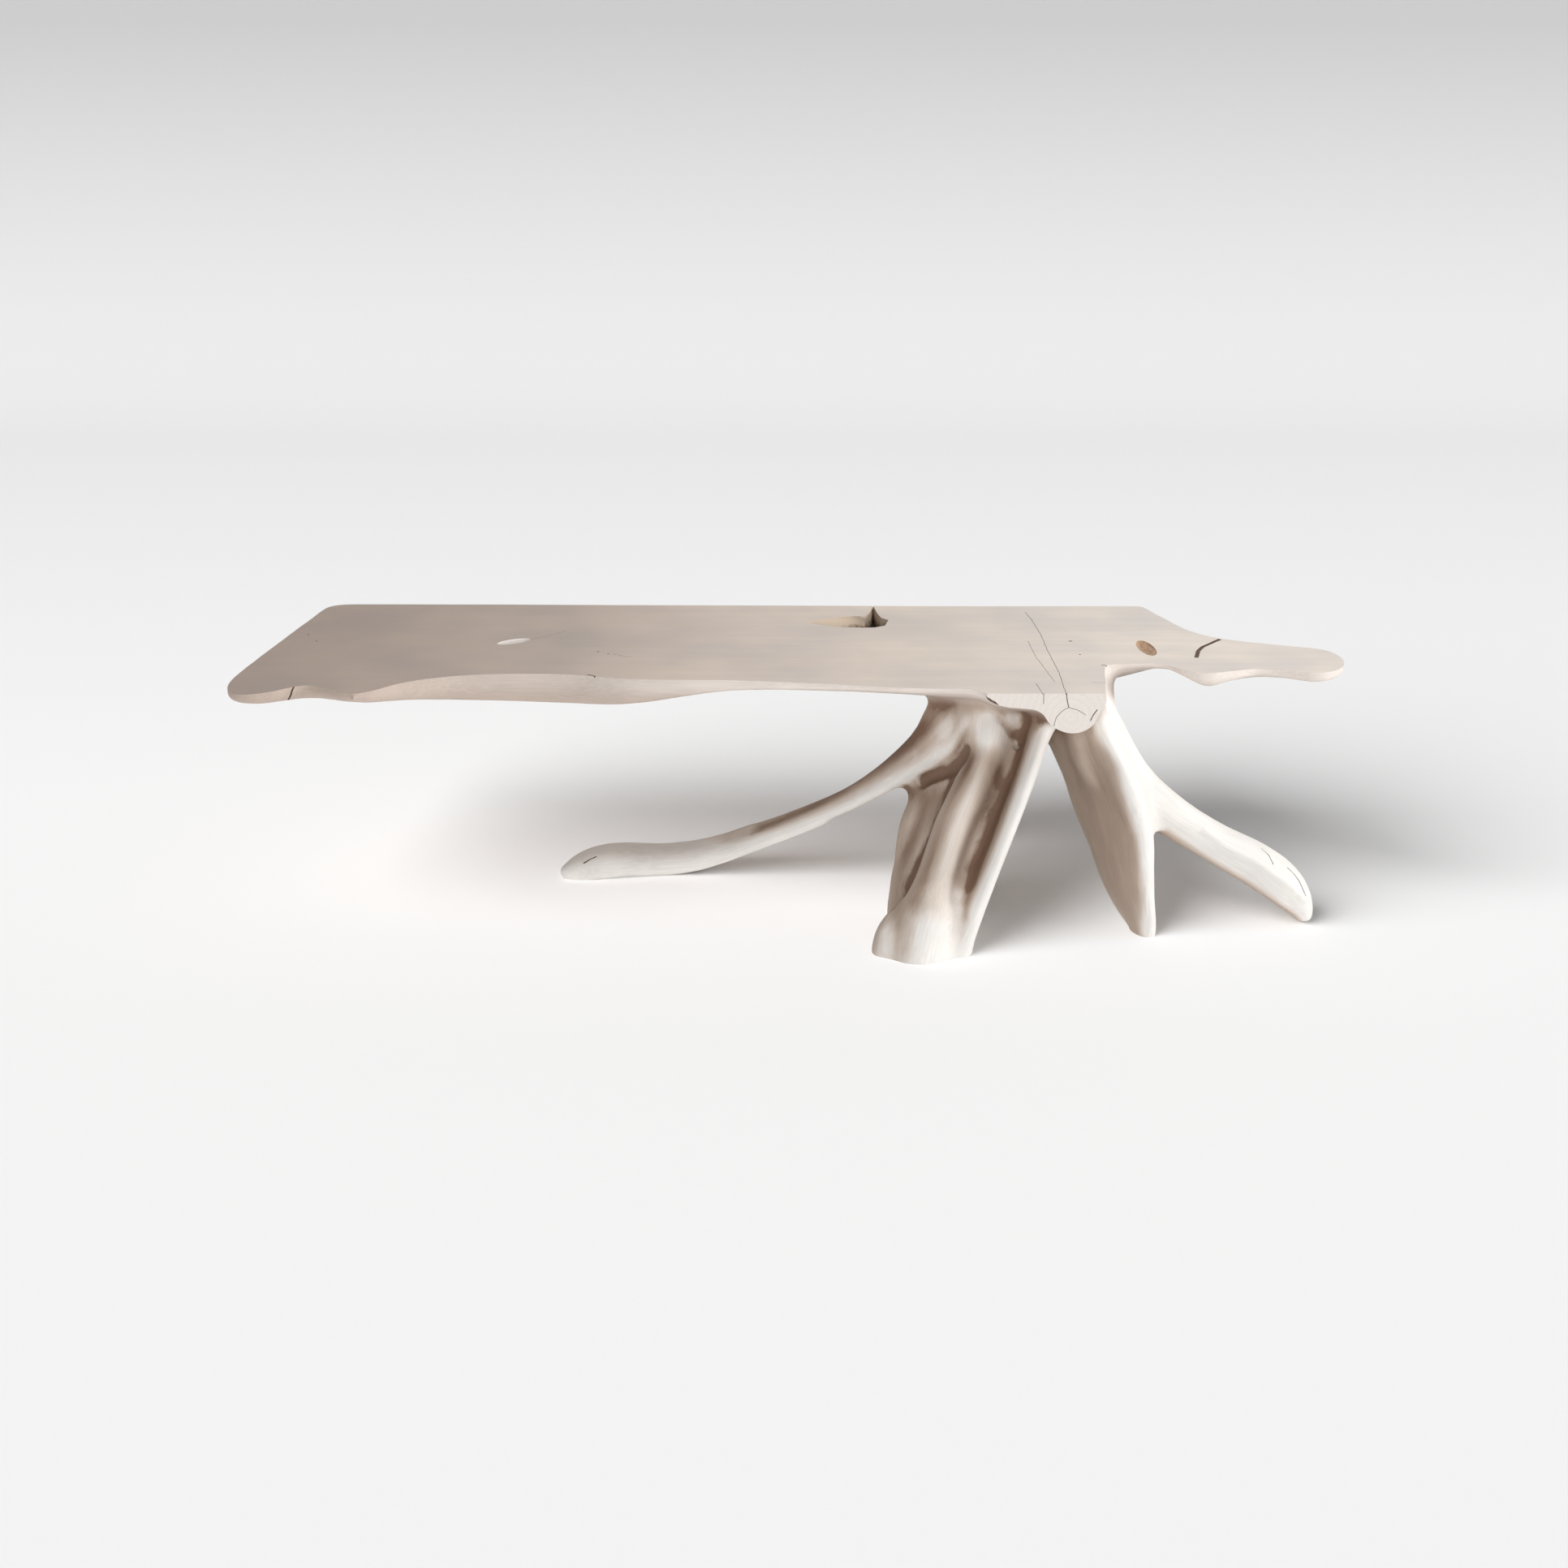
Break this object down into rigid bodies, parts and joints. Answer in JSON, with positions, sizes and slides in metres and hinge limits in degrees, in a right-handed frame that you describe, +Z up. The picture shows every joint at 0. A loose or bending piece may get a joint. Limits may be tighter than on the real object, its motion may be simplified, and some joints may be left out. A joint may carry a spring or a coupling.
{
  "type": "driftwood table",
  "caption": "Low table of one bleached driftwood stump, sawn flat on top with a live edge, standing on its own spread roots.",
  "frame": {"origin": "on the floor, at the centre of the footprint", "axes": "+X along the table, from the long left end to the narrow tongue; -Y towards the front, where the sawn stub is; +Z up"},
  "size_m": [1.9087, 0.7233, 0.43],
  "materials": {
    "bleached_wood": "bleached, dry, sanded matt on top and weathered smooth below"
  },
  "bodies": {
    "root": {"driftwood": "bleached_wood"}
  },
  "joints": []
}
